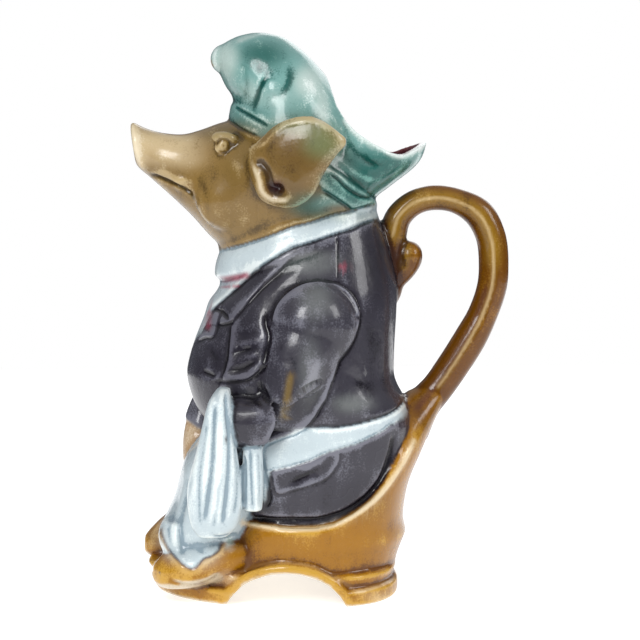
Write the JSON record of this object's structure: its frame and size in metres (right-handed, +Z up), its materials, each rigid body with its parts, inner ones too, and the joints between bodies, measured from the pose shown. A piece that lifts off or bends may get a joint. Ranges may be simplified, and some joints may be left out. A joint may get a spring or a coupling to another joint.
{
  "type": "figural pitcher",
  "caption": "Glazed earthenware pitcher shaped as a seated pig in hat, jacket and apron, with a scroll handle behind and a pouring opening at the back of the hat",
  "frame": {"origin": "centre of the pitcher's plan at the height of the floor it stands on", "axes": "+Z up; the pig faces -X and the handle is at +X; the pig's left side, with the napkin, is at -Y"},
  "size_m": [0.17, 0.1102, 0.2496],
  "materials": {
    "glazed_earthenware": "glossy coloured glazes, amber, aubergine, teal, ochre and blue-white"
  },
  "bodies": {
    "root": {"pitcher": "glazed_earthenware"}
  },
  "joints": []
}
